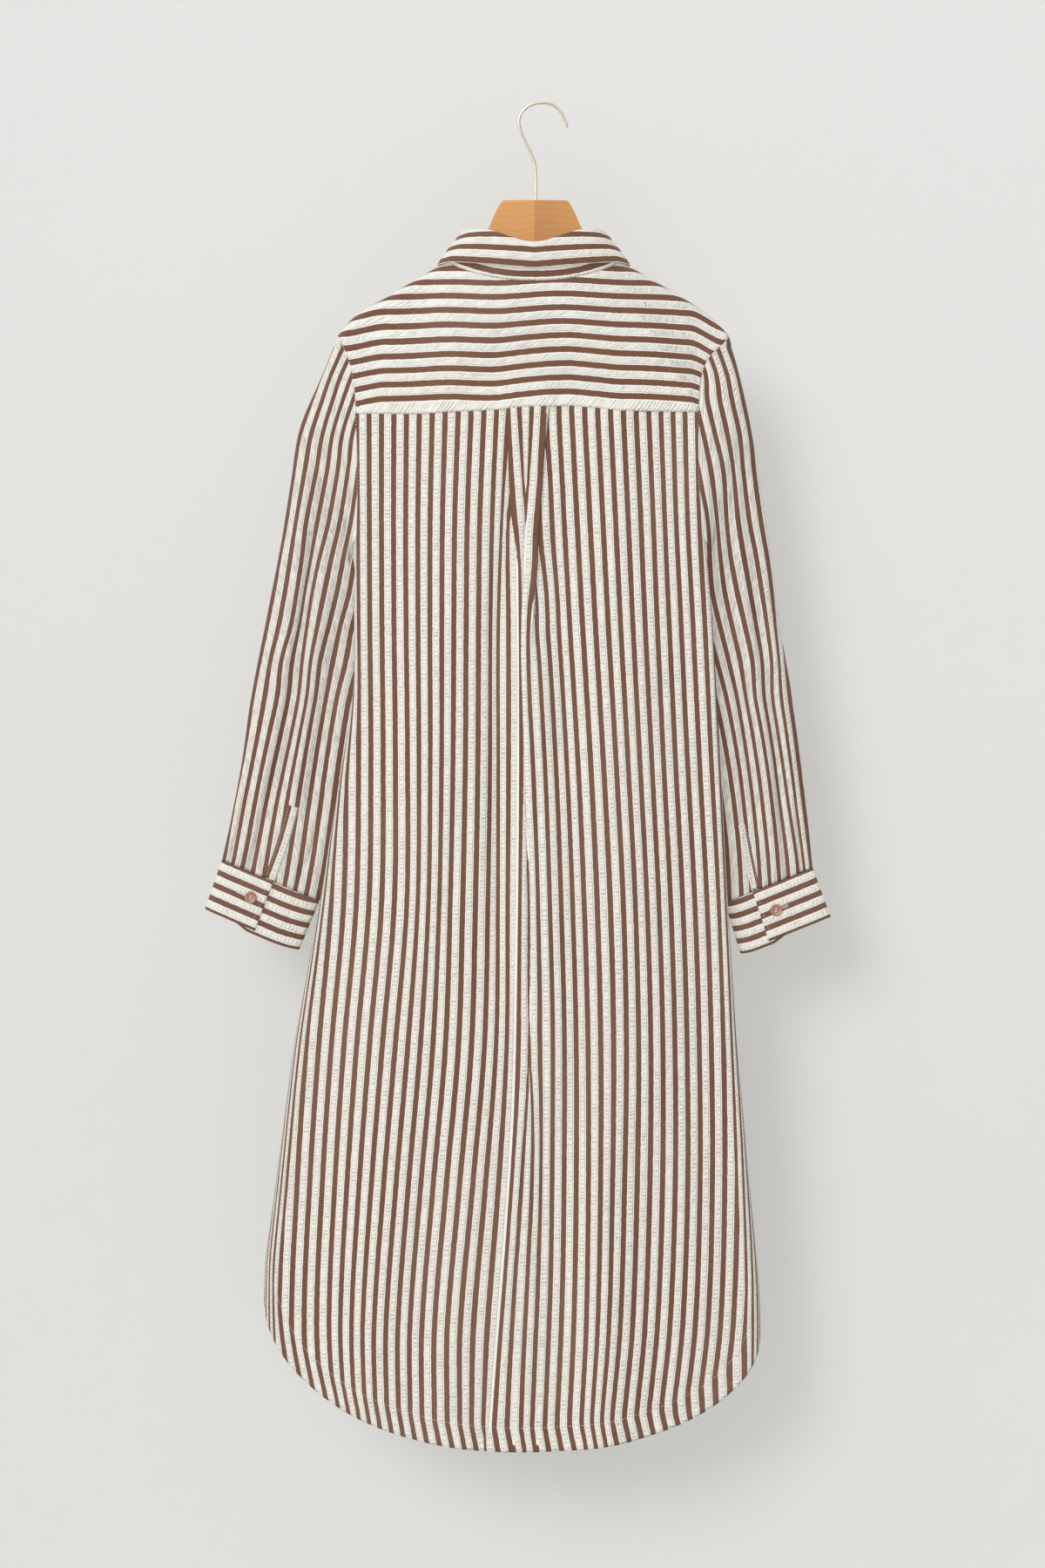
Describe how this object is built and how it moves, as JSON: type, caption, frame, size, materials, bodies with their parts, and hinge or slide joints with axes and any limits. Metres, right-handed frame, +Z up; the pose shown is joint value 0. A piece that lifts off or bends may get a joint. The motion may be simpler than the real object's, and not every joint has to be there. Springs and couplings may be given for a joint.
{
  "type": "shirt dress on a hanger",
  "caption": "Long-sleeved striped shirt dress with collar, back yoke, box pleat and rounded hem, hanging on a wooden hanger with a wire hook.",
  "frame": {"origin": "underside of the hook's crown, where a rail carries it", "axes": "+Z up, the back of the dress faces -Y, its wearer's left is -X"},
  "size_m": [0.6366, 0.0923, 1.361],
  "materials": {
    "cloth_lengthwise": "matt",
    "cloth_crosswise": "matt",
    "button": "satin",
    "wood": "satin varnish",
    "wire": "polished"
  },
  "bodies": {
    "root": {"yoke": "cloth_crosswise", "back_panel": "cloth_lengthwise", "front_left": "cloth_lengthwise", "front_right": "cloth_lengthwise", "placket_left": "cloth_lengthwise", "placket_right": "cloth_lengthwise", "sleeve_left": "cloth_lengthwise", "sleeve_right": "cloth_lengthwise", "sleeve_placket_left": "cloth_lengthwise", "sleeve_placket_right": "cloth_lengthwise", "cuff_left": "cloth_crosswise", "cuff_right": "cloth_crosswise", "cuff_button_left": "button", "cuff_button_right": "button", "collar_stand": "cloth_crosswise", "collar_fall": "cloth_crosswise", "stand_button": "button", "front_button_1": "button", "front_button_2": "button", "front_button_3": "button", "front_button_4": "button", "front_button_5": "button", "front_button_6": "button", "front_button_7": "button", "front_button_8": "button", "front_button_9": "button", "hanger_wood": "wood", "hanger_hook": "wire"}
  },
  "joints": []
}
